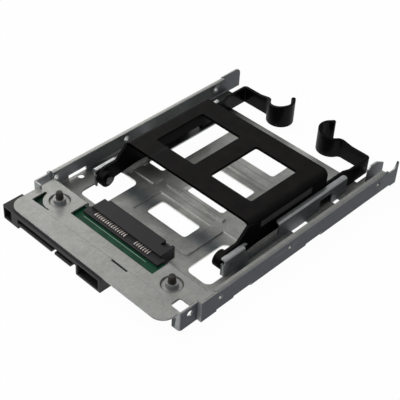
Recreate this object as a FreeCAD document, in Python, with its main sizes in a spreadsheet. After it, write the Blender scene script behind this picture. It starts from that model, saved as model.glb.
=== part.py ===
import FreeCAD, Part
import math
import os
import re
import Sketcher

os.makedirs("parts", exist_ok=True)
doc = FreeCAD.newDocument("DriveFrame")
dims = doc.addObject("Spreadsheet::Sheet", "Dims")

# Driving sizes in millimetres: across is X, along is Y from the connector end, up is Z from the rail bottoms
sizes = {
    # folded sheet and side rails
    "gauge": 0.8, "bendOuter": 1.3, "halfWidth": 50.8, "railTop": 10.4, "stripWide": 2.5,
    "floorRear": 130.0, "cheekLong": 10.0, "stripOver": 5.0, "railOverLeft": 18.5, "railOverRight": 14.0,
    "railRound": 3.0, "dipBack": 4.6, "dipRadius": 3.6, "dipDeep": 1.8, "tipLong": 3.4, "tipOver": 1.8,
    "tipRound": 0.6,
    # joggled tabs at the front of the rails
    "tabInsetLeft": 0.5, "tabInsetRight": 2.2, "tabBackLeft": 1.7, "tabBackRight": 8.7, "tabLongLeft": 8.0,
    "tabLongRight": 9.6, "tabTop": 9.8, "flangeWideLeft": 5.0, "flangeWideRight": 4.4, "flangeFootLeft": 4.0,
    "tabHoleBack": 4.2,
    # fixing holes at the standard spacing
    "sideHoleLead": 2.2, "sideHoleStep": 41.6, "rearHoleShift": 0.1, "sideHoleUp": 6.35, "holeDia": 2.9,
    "rimDia": 5.0, "rimReach": 1.2, "footHoleInset": 3.17, "footHoleLead": 12.78, "footHoleStep": 44.45,
    "footHoleDia": 3.0, "footNotchLong": 10.4, "footNotchTop": 2.4, "footLip": 1.0,
    # raised front deck
    "deckTop": 8.5, "deckFront": 0.4, "deckLong": 25.9, "deckGap": 4.0, "deckRound": 6.0, "cutPlayLeft": 1.8,
    "cutPlayRight": 2.4, "cutLead": 5.2, "deckSlotLong": 9.3, "deckSlotWide": 1.0, "deckSlotAcross": 7.8,
    "deckSlotLead": 9.0, "creaseLead": 8.3, "creaseLean": 2.4, "creaseWide": 0.35, "creaseDeep": 0.15,
    "cornerLead": 9.4, "cornerLong": 5.3, "cornerInset": 5.6, "cornerRound": 1.5, "sightInset": 4.2,
    "sightReach": 1.6, "sightLean": 0.5, "slitLong": 5.3, "slitWide": 0.8, "slitInset": 1.3,
    # formed dishes with a collar for each board screw
    "bossInset": 12.8, "bossBack": 8.3, "dishDrop": 0.8, "dishRadius": 4.75, "dishRim": 7.2,
    "collarRadius": 2.7,
    "collarOver": 1.4,
    # low floor with windows, pad and ribs
    "windowRound": 1.5, "firstHalf": 11.6, "firstShift": 1.1, "firstLead": 8.0, "firstLong": 10.0,
    "midHalf": 10.8, "midShift": 2.1, "midLead": 5.7, "midLong": 20.3,
    "backHalf": 10.8, "backShift": 0.4, "backLead": 25.5, "backLong": 11.0,
    "flankInset": 4.8, "flankWide": 9.4, "flankBack": 13.5, "flankLong": 44.5,
    "lanceInset": 13.0, "lanceLead": 8.6, "lanceTail": 3.2, "lanceRound": 3.0,
    "padHalf": 21.5, "padLead": 5.3, "padLong": 23.5, "padRaise": 0.8, "padInnerHalf": 15.5,
    "padMargin": 4.6,
    "padRound": 2.0, "ribHalf": 17.0, "ribLong": 2.4, "ribLead": 3.0, "ribGap": 4.0,
    "ribBack": 9.0, "gutterWide": 4.0, "gutterLead": 8.3, "gutterLong": 10.0, "gutterBack": 9.6,
    "gutterShort": 4.0,
    # inner walls: hinge ears, sills and drive guides on both sides, and a fin at the right rear
    "earPlay": 2.2, "lipPlay": 0.4, "wallTop": 9.5, "earLead": 3.2, "earLong": 12.0, "earFoldTop": 6.4,
    "lipOver": 2.2, "lipRound": 1.2, "shoulderLong": 3.4, "shoulderTop": 5.4, "sillTop": 3.4,
    "guideBack": 9.4, "guideLong": 45.9, "guideGapBack": 18.6, "guideGapLong": 8.0, "guideGapTop": 6.5,
    "rearTabOut": 2.8, "rearTabLead": 2.0, "rearTabLong": 11.8, "rearTabTop": 10.4, "rearTabDrop": 3.1,
    "rearTabSlope": 5.6, "rearTabBevel": 1.6,
    # adapter board and its screws
    "boardThick": 1.6, "boardInsetLeft": 1.8, "boardInsetRight": 6.8, "boardLead": 2.6, "boardBack": 1.5,
    "screwRadius": 1.7, "screwOver": 3.2, "screwHead": 3.1, "screwHeadTall": 2.0, "screwPlay": 0.08,
    "boardHolePlay": 0.25, "socketRadius": 1.2, "socketDeep": 1.0,
    # drive receptacle
    "sockBack": 5.0, "sockStepLong": 4.5, "sockLong": 11.9, "shelfOver": 1.1, "sockOver": 1.3,
    "sockUnder": 2.3,
    "sockPinFirst": -16.9, "pitch": 1.27, "slotEnd": 1.4, "sockWall": 0.5, "hornWideLeft": 2.5,
    "hornWideRight": 1.5, "hornBack": 1.0, "shelfEarLeft": 1.7, "shelfEarRight": 2.1, "keyLead": 0.35,
    "keyWide": 3.6, "keyDeep": 3.2, "slotTall": 2.2, "slotDeep": 5.6,
    "fingerWide": 0.45, "contactTall": 0.55, "contactLong": 2.4, "contactLead": 1.3, "contactNose": 0.25,
    # host plug
    "plugLead": 1.1, "plugInset": 1.8, "plugWideLeft": 9.7, "plugLongLeft": 10.3, "plugPlay": 0.1,
    "plugDeep": 3.6, "plugWall": 1.5, "plugRoof": 2.0, "plugGap": 3.3, "plugWideRight": 14.7,
    "plugLongRight": 6.7,
    "plugFootRight": 0.2, "plugHollow": 3.2, "plugShell": 1.2, "hollowInset": 0.5, "hollowWide": 4.8,
    "tongueFoot": 1.9, "tongueTall": 1.3, "tongueNose": 0.4, "powerTongue": 22.0, "tongueGap": 1.9,
    "signalTongue": 10.0,
    "powerPinInset": 2.1, "signalPinInset": 1.2, "plugPinTall": 0.25, "plugPinLead": 0.5, "bladeWide": 0.7,
    # hinged retainer
    "plateTop": 17.84, "plateThick": 1.54, "plateHalf": 37.4, "plateLead": 13.6, "plateLong": 50.6,
    "bendRadius": 3.0, "eyeInner": 4.8, "eyeWide": 23.6, "eyeLead": 10.5, "eyeLong": 29.5, "eyeRound": 1.0,
    "flankFoot": 3.4, "grooveFoot": 11.2, "grooveTop": 14.4, "grooveLead": 7.4, "grooveLong": 33.0,
    "grooveDeep": 0.4, "pivotAlong": 45.0, "pivotUp": 5.2, "knuckleRadius": 3.8, "knuckleWide": 4.0,
    "chestTurn": 33.7, "heelTurn": 21.7, "armRise": 1.5, "armRoot": 5.4, "armUp": 10.4, "armLead": 0.6,
    "armSlope": 6.2, "pinRadius": 1.25, "pinPlay": 0.05, "pinSeat": 0.01, "pinHead": 1.9, "pinHeadLong": 0.6,
    "pinSlack": 0.35,
    # spring hooks moulded on the retainer
    "hookFoot": 1.2, "armTop": 9.7, "hookTop": 13.0, "hookOver": 9.8, "hookThick": 1.54, "hookCorner": 2.0,
    "hookOut": 1.2, "jogBack": 17.6, "jogLong": 3.4, "cupAcross": 15.6, "cupOver": 0.2, "cupMid": 5.9,
    "swanMid": 3.0, "tipTurn": 124.0, "tipBead": 1.1, "slopeStart": 28.0, "slopeEnd": 11.0,
}
derived = {
    "railInner": "=halfWidth-gauge", "bendInner": "=bendOuter-gauge",
    "stripRear": "=floorRear+stripOver", "cheekRear": "=floorRear+cheekLong",
    "railRearLeft": "=floorRear+railOverLeft", "railRearRight": "=floorRear+railOverRight",
    "deckRear": "=deckFront+deckLong", "deckHalf": "=halfWidth-deckGap", "deckUnder": "=deckTop-gauge",
    "tabOuterLeft": "=halfWidth-tabInsetLeft", "tabOuterRight": "=halfWidth-tabInsetRight",
    "tabRearLeft": "=deckRear-tabBackLeft", "tabRearRight": "=deckRear-tabBackRight",
    "tabFrontLeft": "=tabRearLeft-tabLongLeft", "tabFrontRight": "=tabRearRight-tabLongRight",
    "sideHoleFirst": "=deckRear+sideHoleLead", "sideHoleSecond": "=sideHoleFirst+sideHoleStep",
    "sideHoleThird": "=floorRear+rearHoleShift",
    "footHoleAcross": "=halfWidth-footHoleInset", "footHoleFirst": "=sideHoleFirst+footHoleLead",
    "footHoleSecond": "=footHoleFirst+footHoleStep",
    "bossAcross": "=deckHalf-bossInset", "bossAlong": "=deckRear-bossBack",
    "boardTop": "=deckUnder-dishDrop", "boardUnder": "=boardTop-boardThick", "dishFloor": "=boardTop+gauge",
    "screwBore": "=screwRadius+screwPlay", "collarTop": "=deckTop+collarOver",
    "screwTip": "=collarTop+screwOver",
    "screwFoot": "=boardUnder-screwHeadTall",
    "boardLeft": "=deckHalf-boardInsetLeft", "boardRight": "=deckHalf-boardInsetRight",
    "boardFront": "=deckFront+boardLead", "boardRear": "=deckRear-boardBack",
    "sockFront": "=deckRear-sockBack", "sockStep": "=sockFront+sockStepLong",
    "sockRear": "=sockFront+sockLong",
    "sockShelf": "=boardTop+shelfOver", "sockTop": "=sockShelf+sockOver",
    "sockFoot": "=boardUnder-sockUnder",
    "powerEnd": "=sockPinFirst+14*pitch", "signalFirst": "=sockPinFirst+19*pitch",
    "signalEnd": "=sockPinFirst+25*pitch",
    "sockMain": "=slotEnd+sockWall-sockPinFirst", "hornLeft": "=sockMain+hornWideLeft",
    "sockLeft": "=hornLeft+shelfEarLeft", "keyInner": "=signalEnd+keyLead", "keyOuter": "=keyInner+keyWide",
    "hornRight": "=keyOuter+hornWideRight", "sockRight": "=hornRight+shelfEarRight",
    "slotFoot": "=(sockFoot+sockTop-slotTall)/2", "slotHead": "=slotFoot+slotTall",
    "cutLeft": "=sockLeft+cutPlayLeft", "cutRight": "=sockRight+cutPlayRight",
    "cutFront": "=sockFront-cutLead",
    "plugFront": "=deckFront-plugLead", "plugLeft": "=halfWidth-plugInset", "plugTop": "=deckUnder-plugPlay",
    "plugBack": "=plugFront+plugDeep", "tongueStart": "=plugWideLeft-plugLeft",
    "tongueMid": "=tongueStart+powerTongue+tongueGap", "plugMid": "=tongueMid+signalTongue+plugGap",
    "plugRight": "=plugMid+plugWideRight", "tongueTop": "=tongueFoot+tongueTall",
    "padAlong": "=sockRear+padLead", "padRear": "=padAlong+padLong", "firstAlong": "=padAlong+firstLead",
    "ribFirst": "=padRear+ribLead", "midAlong": "=ribFirst+midLead", "ribSecond": "=midAlong+midLong+ribGap",
    "ribThird": "=floorRear-ribBack", "backAlong": "=floorRear-backLead",
    "flankRear": "=floorRear-flankBack",
    "wallInner": "=plateHalf+earPlay", "wallOuter": "=wallInner+gauge", "lipInner": "=plateHalf+lipPlay",
    "earFront": "=pivotAlong-earLead", "earRear": "=earFront+earLong",
    "guideRear": "=floorRear-guideBack", "guideFront": "=guideRear-guideLong",
    "guideGap": "=guideRear-guideGapBack",
    "rearTabFront": "=floorRear+rearTabLead", "rearTabRear": "=rearTabFront+rearTabLong",
    "rearTabAcross": "=wallOuter+rearTabOut",
    "plateUnder": "=plateTop-plateThick", "flankWall": "=plateHalf-plateThick",
    "bendUp": "=plateTop-bendRadius", "bendHollow": "=bendRadius-plateThick",
    "plateFront": "=pivotAlong+plateLead", "plateRear": "=plateFront+plateLong",
    "knuckleInner": "=plateHalf-knuckleWide", "knuckleBore": "=pinRadius+pinPlay",
    "chestAlong": "=pivotAlong-knuckleRadius*sin(chestTurn*1deg)",
    "chestUp": "=pivotUp+knuckleRadius*cos(chestTurn*1deg)",
    "heelAlong": "=pivotAlong+knuckleRadius*sin(heelTurn*1deg)",
    "heelUp": "=pivotUp-knuckleRadius*cos(heelTurn*1deg)",
    "pinStart": "=knuckleInner-pinSlack-pinHeadLong", "pinNeck": "=knuckleInner-pinSlack",
    "hookRear": "=floorRear+hookOver", "hookHalf": "=plateHalf+hookOut", "jogAlong": "=hookRear-jogBack",
    "bandMid": "=hookRear-hookThick/2", "cupAlong": "=hookRear+cupOver",
    "swanRise": "=cupAlong-bandMid+swanMid", "swanReach": "=cupMid+swanMid",
    "swanLean": "=asin(swanRise/swanReach)", "swanAcross": "=cupAcross+sqrt(swanReach^2-swanRise^2)",
    "swanAlong": "=bandMid-swanMid",
    "tipAcross": "=cupAcross+cupMid*cos(tipTurn*1deg)", "tipAlong": "=cupAlong+cupMid*sin(tipTurn*1deg)",
    "datum": "=(plugFront+railRearLeft)/2",
}
pinCounts = {"power": "15", "signal": "7"}
row = 1
for table in (sizes, derived):
    for alias, entry in table.items():
        dims.set("A%d" % row, alias)
        dims.set("B%d" % row, str(entry))
        dims.setAlias("B%d" % row, alias)
        row += 1
doc.recompute()
known = set(sizes) | set(derived)


def ref(text):
    return re.sub(r"[A-Za-z]\w*", lambda m: "Dims." + m[0] if m[0] in known else m[0], str(text))


def value(text):
    found = dims.evalExpression(ref(text))
    return float(getattr(found, "Value", found))


def bind(thing, **links):
    for prop, text in links.items():
        thing.setExpression(prop, ref(text))
    return thing


def place(thing, x, y, z, axis=None, turn=0):
    if axis is not None:
        thing.Placement = FreeCAD.Placement(FreeCAD.Vector(), FreeCAD.Rotation(FreeCAD.Vector(*axis), turn))
    for key, text in (("x", x), ("y", y), ("z", z)):
        thing.setExpression("Placement.Base." + key, ref(text))
    return thing


def join(name, *pieces):
    thing = doc.addObject("Part::MultiFuse", name)
    thing.Shapes = list(pieces)
    thing.Refine = True
    return thing


def take(name, base, *tools):
    thing = doc.addObject("Part::Cut", name)
    thing.Base = base
    thing.Tool = tools[0] if len(tools) == 1 else join(name + "Tools", *tools)
    thing.Refine = True
    return thing


def mirrored(name, source):
    thing = doc.addObject("Part::Mirroring", name)
    thing.Source = source
    thing.Normal = FreeCAD.Vector(1, 0, 0)
    return thing


def hold(sketch, kind, ends, text):
    # one driving constraint, bound to the sheet
    spotted = sketch.addConstraint(Sketcher.Constraint(kind, *ends, value(text)))
    sketch.setExpression("Constraints[%d]" % spotted, ref(text))


def newSketch(body, plane):
    sketch = body.newObject("Sketcher::SketchObject", body.Name + "Sketch")
    face = [f for f in body.Origin.OriginFeatures if f.Role == plane + "_Plane"][0]
    sketch.AttachmentSupport = [(face, "")]
    sketch.MapMode = "FlatFace"
    return sketch


def draw(body, plane, corners):
    # a closed outline through its corners (across, up, round); round corners stand between square edges
    sketch = newSketch(body, plane)
    rule = Sketcher.Constraint
    count = len(corners)
    spots = [FreeCAD.Vector(value(a), value(b), 0) for a, b, r in corners]
    rounds = [value(r) for a, b, r in corners]
    ways = [(spots[(i + 1) % count] - spots[i]).normalize() for i in range(count)]
    for i in range(count):
        after = (i + 1) % count
        sketch.addGeometry(Part.LineSegment(spots[i] + ways[i] * rounds[i],
                                            spots[after] - ways[i] * rounds[after]))
    for i, (across, up, bend) in enumerate(corners):
        before = (i - 1) % count
        if rounds[i] == 0:
            sketch.addConstraint(rule("Coincident", before, 2, i, 1))
            continue
        left = ways[before].cross(ways[i]).z > 0
        centre = spots[i] + (ways[i] - ways[before]) * rounds[i]
        ring = Part.Circle(centre, FreeCAD.Vector(0, 0, 1), rounds[i])
        out = (spots[i] - ways[before] * rounds[i] if left else spots[i] + ways[i] * rounds[i]) - centre
        start = math.atan2(out.y, out.x)
        arc = sketch.addGeometry(Part.ArcOfCircle(ring, start, start + math.pi / 2))
        first, second = (1, 2) if left else (2, 1)
        sketch.addConstraint(rule("Tangent", before, 2, arc, first))
        sketch.addConstraint(rule("Tangent", arc, second, i, 1))
        hold(sketch, "Radius", (arc,), bend)
    upright = [abs(way.x) < 1e-6 for way in ways]
    level = [abs(way.y) < 1e-6 for way in ways]
    for i, (across, up, bend) in enumerate(corners):
        before = (i - 1) % count
        if upright[i]:
            sketch.addConstraint(rule("Vertical", i))
        if level[i]:
            sketch.addConstraint(rule("Horizontal", i))
        if upright[i] or not upright[before] and not level[i] and rounds[i] == 0:
            hold(sketch, "DistanceX", (-1, 1, i, 1), across)
        elif level[i] and not upright[before]:
            hold(sketch, "DistanceX", (-1, 1, i, 1), across)
        if level[i]:
            hold(sketch, "DistanceY", (-1, 1, i, 1), up)
        elif not level[before]:
            hold(sketch, "DistanceY", (-1, 1, i, 1), up)
    return sketch


def pad(name, plane, corners, start, stop):
    # an outline drawn across one axis and drawn out along it
    body = doc.addObject("PartDesign::Body", name)
    feature = body.newObject("PartDesign::Pad", name + "Pad")
    feature.Profile = draw(body, plane, corners)
    bind(feature, Length="(%s)-(%s)" % (stop, start))
    body.Tip = feature
    spots = {"XY": (0, 0, start), "YZ": (start, 0, 0), "XZ": (0, stop, 0)}
    return place(body, *spots[plane])


def turned(name, corners, x, y, z, axis=None, turn=0):
    # a half section (radius, up) turned about its own axis
    body = doc.addObject("PartDesign::Body", name)
    feature = body.newObject("PartDesign::Revolution", name + "Turn")
    sketch = draw(body, "XZ", corners)
    feature.Profile = sketch
    feature.ReferenceAxis = (sketch, ["V_Axis"])
    feature.Angle = 360
    body.Tip = feature
    return place(body, x, y, z, axis, turn)


def row_of(name, plane, corners, start, stop, count, step):
    # one small piece drawn out and repeated along X
    body = pad(name, plane, corners, start, stop)
    pattern = body.newObject("PartDesign::LinearPattern", name + "Row")
    pattern.Originals = [body.Tip]
    pattern.Direction = ([f for f in body.Origin.OriginFeatures if f.Role == "X_Axis"][0], [""])
    pattern.Occurrences = round(float(count))
    bind(pattern, Length="%d*(%s)" % (pattern.Occurrences - 1, step))
    body.AllowCompound = True
    body.Tip = pattern
    return body


def plate(x0, x1, y0, y1, bend="0"):
    return (x0, y0, bend), (x1, y0, bend), (x1, y1, bend), (x0, y1, bend)


def post(name, x, y, z0, z1, radius):
    thing = doc.addObject("Part::Cylinder", name)
    bind(thing, Radius=radius, Height="(%s)-(%s)" % (z1, z0))
    return place(thing, x, y, z0)


def axle(name, x0, x1, y, z, radius):
    thing = doc.addObject("Part::Cylinder", name)
    bind(thing, Radius=radius, Height="(%s)-(%s)" % (x1, x0))
    return place(thing, x0, y, z, (0, 1, 0), 90)


def across(sign, near, far):
    # an X range given from the middle outwards, on the left or the right
    if sign > 0:
        return near, far
    return "-(%s)" % far, "-(%s)" % near


def lipEnd(name, bend, free):
    # what a round corner takes off a turned-in lip, between where it bends and past its free end
    y0, y1 = (bend, free) if value(bend) < value(free) else (free, bend)
    block = pad(name + "Block", "XY", plate("lipInner-gauge", "lipInner+lipRound", y0, y1),
                "wallTop-2*gauge", "wallTop+gauge")
    disc = post(name + "Disc", "lipInner+lipRound", bend, "wallTop-3*gauge", "wallTop+2*gauge", "lipRound")
    return take(name, block, disc)


sides = (("Left", -1), ("Right", 1))
metal = []
voids = []

# Tray: one channel section with the floor, both rails and their turned-in strips
channel = pad("Channel", "XZ", (
    ("stripWide-halfWidth", "railTop-gauge", "0"), ("stripWide-halfWidth", "railTop", "0"),
    ("-halfWidth", "railTop", "bendOuter"), ("-halfWidth", "0", "bendOuter"),
    ("halfWidth", "0", "bendOuter"), ("halfWidth", "railTop", "bendOuter"),
    ("halfWidth-stripWide", "railTop", "0"), ("halfWidth-stripWide", "railTop-gauge", "0"),
    ("railInner", "railTop-gauge", "bendInner"), ("railInner", "gauge", "bendInner"),
    ("-railInner", "gauge", "bendInner"), ("-railInner", "railTop-gauge", "bendInner")),
    "deckRear", "cheekRear")
metal.append(channel)
voids.append(pad("FloorEnd", "XY", plate("-wallInner", "wallInner", "floorRear", "cheekRear+gauge"),
                 "-gauge", "railTop"))
tailEnds = {"Left": (("railRearLeft", "railTop", "railRound"),),
            "Right": (("railRearRight", "railTop+tipOver", "tipRound"),
                      ("railRearRight-tipLong", "railTop+tipOver", "0"),
                      ("railRearRight-tipLong", "railTop", "0"))}
for side, sign in sides:
    rear = "railRear" + side
    x0, x1 = across(sign, "railInner", "halfWidth")
    metal.append(pad("RailTail" + side, "YZ", (
        ("stripRear", "bendOuter", "0"), ("cheekRear", "bendOuter", "0"), ("cheekRear", "0", "0"),
        (rear, "0", "0"), *tailEnds[side], ("stripRear", "railTop", "0")), x0, x1))
    x0, x1 = across(sign, "halfWidth-stripWide-gauge", "railInner")
    voids.append(pad("StripEnd" + side, "XY", plate(x0, x1, "stripRear", "cheekRear+gauge"),
                     "2*gauge", "railTop+gauge"))

    # the joggled tab and its front flange in plan
    tab, front, back = "tabOuter" + side, "tabFront" + side, "tabRear" + side
    flip = "" if sign > 0 else "-"
    plan = ((tab + "-flangeWide" + side, front, "0"), (tab, front, "bendOuter"), (tab, back, "0"),
            ("halfWidth", back, "0"), ("halfWidth", "deckRear", "0"), ("railInner", "deckRear", "0"),
            ("railInner", back + "+gauge", "0"), (tab + "-gauge", back + "+gauge", "0"),
            (tab + "-gauge", front + "+gauge", "bendInner"),
            (tab + "-flangeWide" + side, front + "+gauge", "0"))
    metal.append(pad("Tab" + side, "XY", [(flip + "(%s)" % a, b, r) for a, b, r in plan], "0", "railTop"))
    x0, x1 = across(sign, tab + "-2*gauge", "halfWidth+gauge")
    voids.append(pad("TabTop" + side, "XY", plate(x0, x1, front + "-gauge", back),
                     "tabTop", "railTop+gauge"))

    for spot in ("First", "Second", "Third"):
        x0, x1 = across(sign, "railInner-rimReach", "railInner")
        metal.append(axle("Rim" + side + spot, x0, x1, "sideHole" + spot, "sideHoleUp", "rimDia/2"))
        x0, x1 = across(sign, "railInner-rimReach-gauge", "halfWidth+gauge")
        voids.append(axle("SideHole" + side + spot, x0, x1, "sideHole" + spot, "sideHoleUp", "holeDia/2"))
    for spot in ("First", "Second"):
        middle = "footHole" + spot
        x0, x1 = across(sign, "halfWidth-footLip", "halfWidth+gauge")
        notch = plate(x0, x1, middle + "-footNotchLong/2", middle + "+footNotchLong/2")
        voids.append(pad("FootNotch" + side + spot, "XY", notch, "-gauge", "footNotchTop"))
        voids.append(post("FootHole" + side + spot, flip + "footHoleAcross", middle, "-gauge", "2*gauge",
                          "footHoleDia/2"))
voids.append(pad("FlangeFoot", "XY", plate("gauge-tabOuterLeft", "flangeWideLeft-tabOuterLeft+gauge",
                                           "tabFrontLeft-gauge", "tabFrontLeft+2*gauge"),
                 "-gauge", "flangeFootLeft"))
voids.append(pad("FlangeTop", "XY", plate("tabOuterRight-flangeWideRight-gauge", "tabOuterRight-2*gauge",
                                          "tabFrontRight-gauge", "tabFrontRight+2*gauge"),
                 "deckTop", "railTop+gauge"))
voids.append(axle("RailDip", "railInner-gauge", "halfWidth+gauge", "railRearRight-dipBack",
                  "railTop+dipRadius-dipDeep", "dipRadius"))
voids.append(axle("TabHole", "tabOuterRight-2*gauge", "tabOuterRight+gauge", "tabRearRight-tabHoleBack",
                  "sideHoleUp", "holeDia/2"))

# Tray: raised deck with the board cut-out, and the folded risers down to the floor
deck = pad("DeckPlan", "XY", (
    ("-deckHalf", "deckFront", "deckRound"), ("deckHalf", "deckFront", "deckRound"),
    ("deckHalf", "deckRear-2*gauge", "0"), ("cutRight", "deckRear-2*gauge", "0"),
    ("cutRight", "cutFront", "0"), ("-cutLeft", "cutFront", "0"),
    ("-cutLeft", "deckRear-2*gauge", "0"), ("-deckHalf", "deckRear-2*gauge", "0")), "deckUnder", "deckTop")
riser = (("deckRear-3*gauge", "deckUnder", "0"), ("deckRear-gauge", "deckUnder", "bendInner"),
         ("deckRear-gauge", "0", "bendOuter"), ("deckRear+3*gauge", "0", "0"),
         ("deckRear+3*gauge", "gauge", "0"),
         ("deckRear", "gauge", "bendInner"), ("deckRear", "deckTop", "bendOuter"),
         ("deckRear-3*gauge", "deckTop", "0"))
metal.append(pad("RiserLeft", "YZ", riser, "-deckHalf", "-cutLeft"))
metal.append(pad("RiserRight", "YZ", riser, "cutRight", "deckHalf"))
sightBox = pad("SightBox", "XY", (
    ("sightInset-deckHalf", "deckFront+cornerLead", "0"),
    ("sightReach-bossAcross", "deckFront+cornerLead+sightLean", "0"),
    ("sightReach-bossAcross", "bossAlong-gauge", "0"), ("sightInset-deckHalf", "bossAlong-gauge", "0")),
    "boardTop", "deckTop+gauge")
sight = take("BoardSight", sightBox, post("SightDisc", "-bossAcross", "bossAlong", "0", "deckTop+2*gauge",
                                          "dishRim"))
deckCuts = [sight]
deckCuts.append(pad("DeckSlot", "XY", plate("deckSlotAcross", "deckSlotAcross+deckSlotLong",
                                            "deckFront+deckSlotLead", "deckFront+deckSlotLead+deckSlotWide"),
                    "boardTop", "deckTop+gauge"))
deckCuts.append(pad("DeckCrease", "XY", (
    ("sightReach-bossAcross", "deckFront+creaseLead", "0"),
    ("deckHalf-cornerInset+cornerRound", "deckFront+creaseLead+creaseLean", "0"),
    ("deckHalf-cornerInset+cornerRound", "deckFront+creaseLead+creaseLean+creaseWide", "0"),
    ("sightReach-bossAcross", "deckFront+creaseLead+creaseWide", "0")),
    "deckTop-creaseDeep", "deckTop+gauge"))
deckCuts.append(pad("CornerCut", "XY", plate("deckHalf-cornerInset", "halfWidth+gauge", "deckFront+cornerLead",
                                             "deckFront+cornerLead+cornerLong", "cornerRound"),
                    "boardTop", "deckTop+gauge"))
for side, sign in sides:
    spot = "bossAcross" if sign > 0 else "-bossAcross"
    deckCuts.append(post("DishCut" + side, spot, "bossAlong", "boardTop", "deckTop+gauge",
                         "dishRadius+gauge/2"))
    metal.append(turned("Dish" + side, (
        ("screwBore", "boardTop", "0"), ("dishRadius+gauge/2", "boardTop", "0"),
        ("dishRadius+gauge/2", "deckTop", "0"),
        ("dishRadius", "deckTop", "0"), ("dishRadius-gauge/2", "dishFloor", "0"),
        ("collarRadius", "dishFloor", "0"),
        ("collarRadius", "collarTop", "0"), ("screwBore", "collarTop", "0")), spot, "bossAlong", "0"))
metal.append(take("Deck", deck, *deckCuts))
bridge = pad("BridgePlan", "XY", plate("deckHalf-gauge", "railInner", "tabRearRight", "deckRear"),
             "deckUnder", "deckTop")
metal.append(take("Bridge", bridge, pad("BridgeSlit", "XY", plate(
    "railInner-slitInset", "railInner-slitInset+slitWide", "deckRear-slitLong", "deckRear+gauge"),
    "boardTop", "deckTop+gauge")))

# Tray: pressed pad and ribs on the floor, then its windows
metal.append(pad("FloorPad", "XY", plate("-padHalf", "padHalf", "padAlong", "padRear", "padRound"),
                 "gauge/2", "gauge+padRaise"))
voids.append(pad("PadPan", "XY", plate("-padInnerHalf", "padInnerHalf", "padAlong+padMargin",
                                       "padRear-padMargin/2"),
                 "gauge", "gauge+2*padRaise"))
for spot in ("First", "Second", "Third"):
    metal.append(pad("Rib" + spot, "XY", plate("-ribHalf", "ribHalf", "rib" + spot, "rib%s+ribLong" % spot),
                     "gauge/2", "gauge+padRaise"))
for name in ("first", "mid", "back"):
    x0, x1 = (name + "Shift" + step + name + "Half" for step in "-+")
    y0, y1 = name + "Along", "%sAlong+%sLong" % (name, name)
    voids.append(pad(name.capitalize() + "Window", "XY", plate(x0, x1, y0, y1, "windowRound"),
                     "-gauge", "3*gauge"))
for side, sign in sides:
    x0, x1 = across(sign, "wallInner-flankInset-flankWide", "wallInner-flankInset")
    voids.append(pad("FlankWindow" + side, "XY",
                     plate(x0, x1, "flankRear-flankLong", "flankRear", "windowRound"),
                     "-gauge", "3*gauge"))
    x0, x1 = across(sign, "wallInner-lanceInset", "wallInner")
    lance = plate(x0, x1, "earFront-lanceLead", "earRear+lanceTail", "lanceRound")
    voids.append(pad("LanceWindow" + side, "XY", lance, "-gauge", "gauge"))
    x0, x1 = across(sign, "wallOuter", "wallOuter+gutterWide")
    for name, y0, long in (("Front", "guideFront+gutterLead", "gutterLong"),
                           ("Rear", "guideRear-gutterBack", "gutterShort")):
        voids.append(pad("Gutter" + name + side, "XY", plate(x0, x1, y0, "%s+%s" % (y0, long)),
                         "-gauge", "gauge"))

# Tray: lanced inner walls of the right side, mirrored to the left
wallSection = (("wallInner", "gauge/2", "0"), ("wallOuter", "gauge/2", "0"),
               ("wallOuter", "wallTop", "bendOuter"),
               ("lipInner", "wallTop", "0"), ("lipInner", "wallTop-gauge", "0"),
               ("wallInner", "wallTop-gauge", "bendInner"))
earPlan = (("wallInner", "earFront+3*bendOuter", "0"), ("wallInner", "earFront+gauge", "bendInner"),
           ("lipInner", "earFront+gauge", "0"), ("lipInner", "earFront", "0"),
           ("wallOuter", "earFront", "bendOuter"),
           ("wallOuter", "earFront+3*bendOuter", "0"))
noseSection = (("wallInner", "earFoldTop+gauge", "0"),
               ("wallOuter", "earFoldTop+gauge", "0")) + wallSection[2:]
shoulder = plate("earRear-gauge", "earRear+shoulderLong", "gauge/2", "shoulderTop")
walls = join("RightWalls",
             pad("Ear", "XZ", wallSection, "earFront+bendOuter", "earRear"),
             pad("EarNose", "XZ", noseSection, "earFront", "earFront+2*bendOuter"),
             pad("EarFold", "XY", earPlan, "gauge/2", "earFoldTop"),
             pad("EarTongue", "XY", plate("lipInner", "wallOuter-bendOuter", "earRear-gauge",
                                          "earRear+lipOver"),
                 "wallTop-gauge", "wallTop"),
             pad("EarShoulder", "YZ", shoulder, "wallInner", "wallOuter"),
             pad("Sill", "YZ", plate("earRear-gauge", "guideFront+gauge", "gauge/2", "sillTop"),
                 "wallInner", "wallOuter"),
             pad("Guide", "XZ", wallSection, "guideFront", "guideRear"))
walls = take("RightWallSet", walls, lipEnd("EarEnd", "earRear+lipOver-lipRound", "earRear+lipOver+gauge"),
             lipEnd("GuideEnd", "guideRear-lipRound", "guideRear+gauge"),
             lipEnd("GuideStart", "guideFront+lipRound", "guideFront-gauge"),
             pad("GuideGap", "YZ", plate("guideGap", "guideGap+guideGapLong", "2*gauge", "guideGapTop"),
                 "wallInner-gauge", "wallOuter+gauge"),
             axle("PinBore", "wallInner-gauge", "wallOuter+gauge", "pivotAlong", "pivotUp",
                  "pinRadius+pinSeat"))
body = take("TrayBody", join("TrayMetal", *metal), *voids)
rearTab = pad("RearTab", "YZ", (
    ("rearTabFront", "gauge/2", "0"), ("rearTabRear", "gauge/2", "0"),
    ("rearTabRear", "rearTabTop-rearTabDrop", "0"),
    ("rearTabRear-rearTabSlope", "rearTabTop", "0"), ("rearTabFront+rearTabBevel", "rearTabTop", "0"),
    ("rearTabFront", "rearTabTop-rearTabBevel", "0")), "rearTabAcross-gauge", "rearTabAcross")
tray = join("tray", body, walls, mirrored("LeftWallSet", walls), rearTab)

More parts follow.
